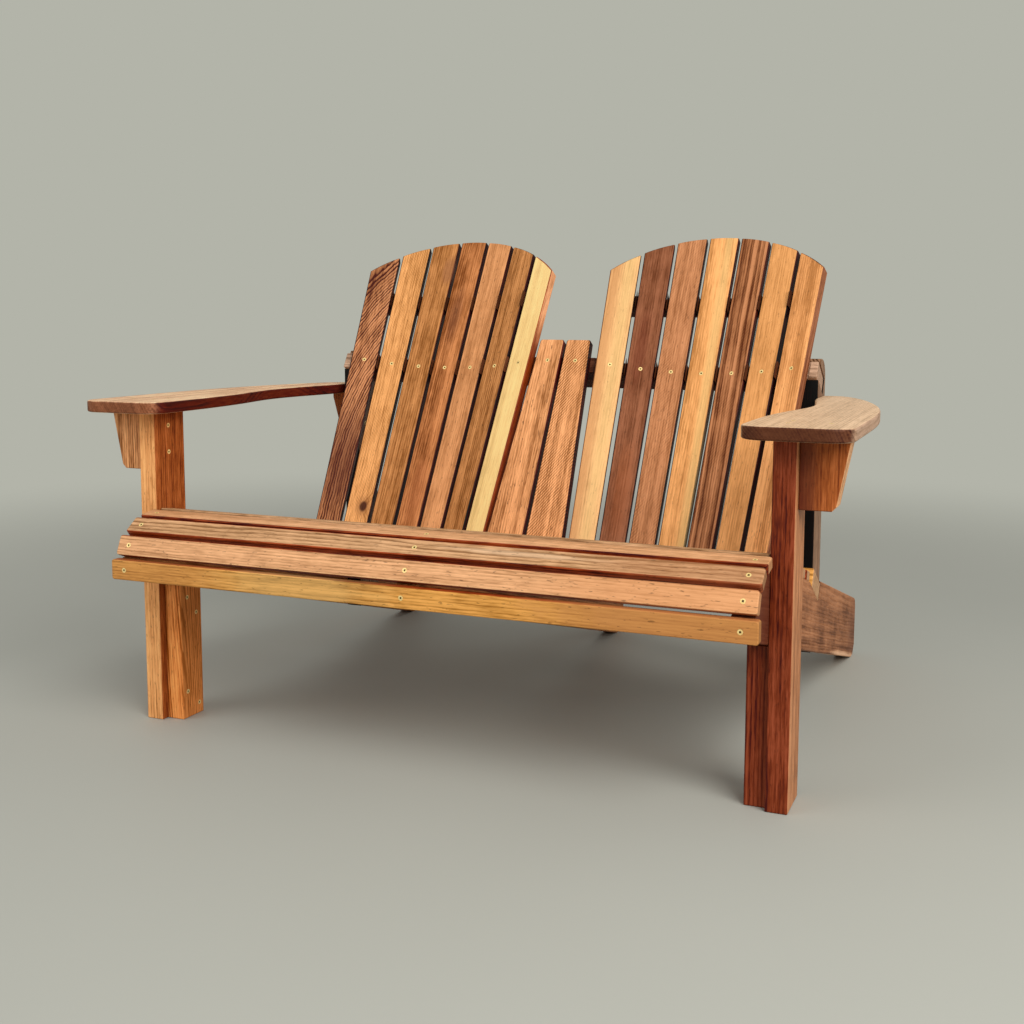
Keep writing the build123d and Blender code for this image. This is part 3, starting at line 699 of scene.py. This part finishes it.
# The other boards, by a word in their names
KINDS = {
    "stringer": board(CINNAMON, 1.3, bold=0.6, wave=0.0006, heart=(0.1, -0.06), pitch=0.0055),
    # Painted shade: the front face is near black below the middle rail, where shade falls
    "rear_post": board(
        ASH, 1.5, faces=[("+across", 0.4, 0.8, shades(NEAR_BLACK, 0.9), 0.266, 0.272)]),
    "rear_bracket": board(RUSSET, 1.4),
    # Painted shade: upper rails are dark, as in the shade behind the back slats
    "upper_rail": board(DUSK, 1.3),
    "seat_slat": rung(PALE_TAN, 1.3),
}

metal = brass()
for index, (name, obj) in enumerate(sorted(nodes.items())):
    if name.endswith("screws"):
        finish = metal
    else:
        look = LOOKS.get(name) or next(kind for word, kind in KINDS.items() if word in name)
        finish = wood(name, obj, dict(look, seed=BOARD_SEED * index))
    obj.data.materials.clear()
    obj.data.materials.append(finish)

# The camera: where it stands, from the front posts' front faces and the floor, how far it is
# turned to the left, tipped down and rolled, its lens, and how far its picture is shifted
CAMERA_SPOT = Vector((0.98875, -1.94615, 0.81136))
YAW = math.radians(21.81)
PITCH = math.radians(6.33)
ROLL = math.radians(-0.24)
SENSOR = 36.0
LENS = 43.617
SHIFT = (-0.03005, -0.0611)

ahead = math.cos(PITCH)
forward = Vector((-math.sin(YAW) * ahead, math.cos(YAW) * ahead, -math.sin(PITCH)))
level = Vector((math.cos(YAW), math.sin(YAW), 0))
down = forward.cross(level)
right = level * math.cos(ROLL) + down * math.sin(ROLL)
below = down * math.cos(ROLL) - level * math.sin(ROLL)
stand = Matrix((right, -below, -forward)).transposed().to_4x4()
stand.translation = CAMERA_SPOT - Vector((0, DEPTH_MIDDLE, 0))
camera_data = bpy.data.cameras.new("camera")
camera_data.sensor_width = SENSOR
camera_data.lens = LENS
camera_data.shift_x, camera_data.shift_y = SHIFT
camera = bpy.data.objects.new("camera", camera_data)
camera.matrix_world = stand
bpy.context.scene.collection.objects.link(camera)
bpy.context.scene.camera = camera

# Floor and surroundings: away from the bench the floor fades into a plain backdrop
BACKDROP = tone(179, 180, 169)
FLOOR_DARK = tone(169, 170, 162)
FLOOR_PALE = tone(175, 176, 168)
FLOOR_HALF = 12
FADE_FROM = 1.5
FADE_TO = 4.0
SURROUNDINGS = (0.42, 0.42, 0.41, 1)


def seen_ray(g):
    """1 for what the camera sees, also in gloss and through glass, 0 for the light on things."""
    path = g.node("ShaderNodeLightPath")
    seen = g.math("MAXIMUM", path.outputs["Is Camera Ray"], path.outputs["Is Glossy Ray"])
    return g.math("MAXIMUM", seen, path.outputs["Is Transmission Ray"])


def floor_finish():
    """Matt pale floor with faint clouds."""
    material = new_material("floor")
    g = Graph(material.node_tree)
    place = g.node("ShaderNodeTexCoord").outputs["Object"]
    shader = g.principled(
        Base_Color=g.mix(g.noise(place, 1.3, 3.0, 0.5, 5.0), FLOOR_DARK, FLOOR_PALE),
        Roughness=0.6,
        Specular_IOR_Level=0.2)
    plain = g.node("ShaderNodeEmission")
    g.put(plain.inputs["Color"], BACKDROP)
    blend = g.node("ShaderNodeMixShader")
    far = g.step(g.vector("LENGTH", place), FADE_FROM, FADE_TO)
    g.put(blend.inputs[0], g.math("MULTIPLY", far, seen_ray(g)))
    g.put(blend.inputs[1], shader)
    g.put(blend.inputs[2], plain.outputs["Emission"])
    g.output(blend.outputs["Shader"])
    return material


corners = [(-1, -1), (1, -1), (1, 1), (-1, 1)]
floor_mesh = bpy.data.meshes.new("floor")
floor_mesh.from_pydata([(x * FLOOR_HALF, y * FLOOR_HALF, 0) for x, y in corners], [], [(0, 1, 2, 3)])
floor_mesh.materials.append(floor_finish())
floor = bpy.data.objects.new("floor", floor_mesh)
bpy.context.scene.collection.objects.link(floor)

world = bpy.data.worlds.new("studio")
bpy.context.scene.world = world
world.use_nodes = True
sky = Graph(world.node_tree)
background = sky.node("ShaderNodeBackground")
sky.put(background.inputs["Color"], sky.mix(seen_ray(sky), SURROUNDINGS, BACKDROP))
sky.output(background.outputs["Background"], "ShaderNodeOutputWorld")


def lamp(name, spot, aim, size, power, colour):
    """A soft square lamp that looks at a point."""
    data = bpy.data.lights.new(name, "AREA")
    data.size = size
    data.energy = power
    data.color = colour
    obj = bpy.data.objects.new(name, data)
    obj.location = spot
    obj.rotation_euler = (Vector(aim) - Vector(spot)).to_track_quat("-Z", "Y").to_euler()
    bpy.context.scene.collection.objects.link(obj)


LAMP_AIM = (0, 0, 0.4)
LAMP_SIZE = 3.0
lamp("key", (3.1, -2.5, 3.1), LAMP_AIM, LAMP_SIZE, power=205, colour=(1, 0.985, 0.95))
lamp("fill", (-2.6, -3.0, 2.6), LAMP_AIM, LAMP_SIZE, power=50, colour=(1, 0.99, 0.97))

bpy.context.scene.view_settings.view_transform = "Standard"
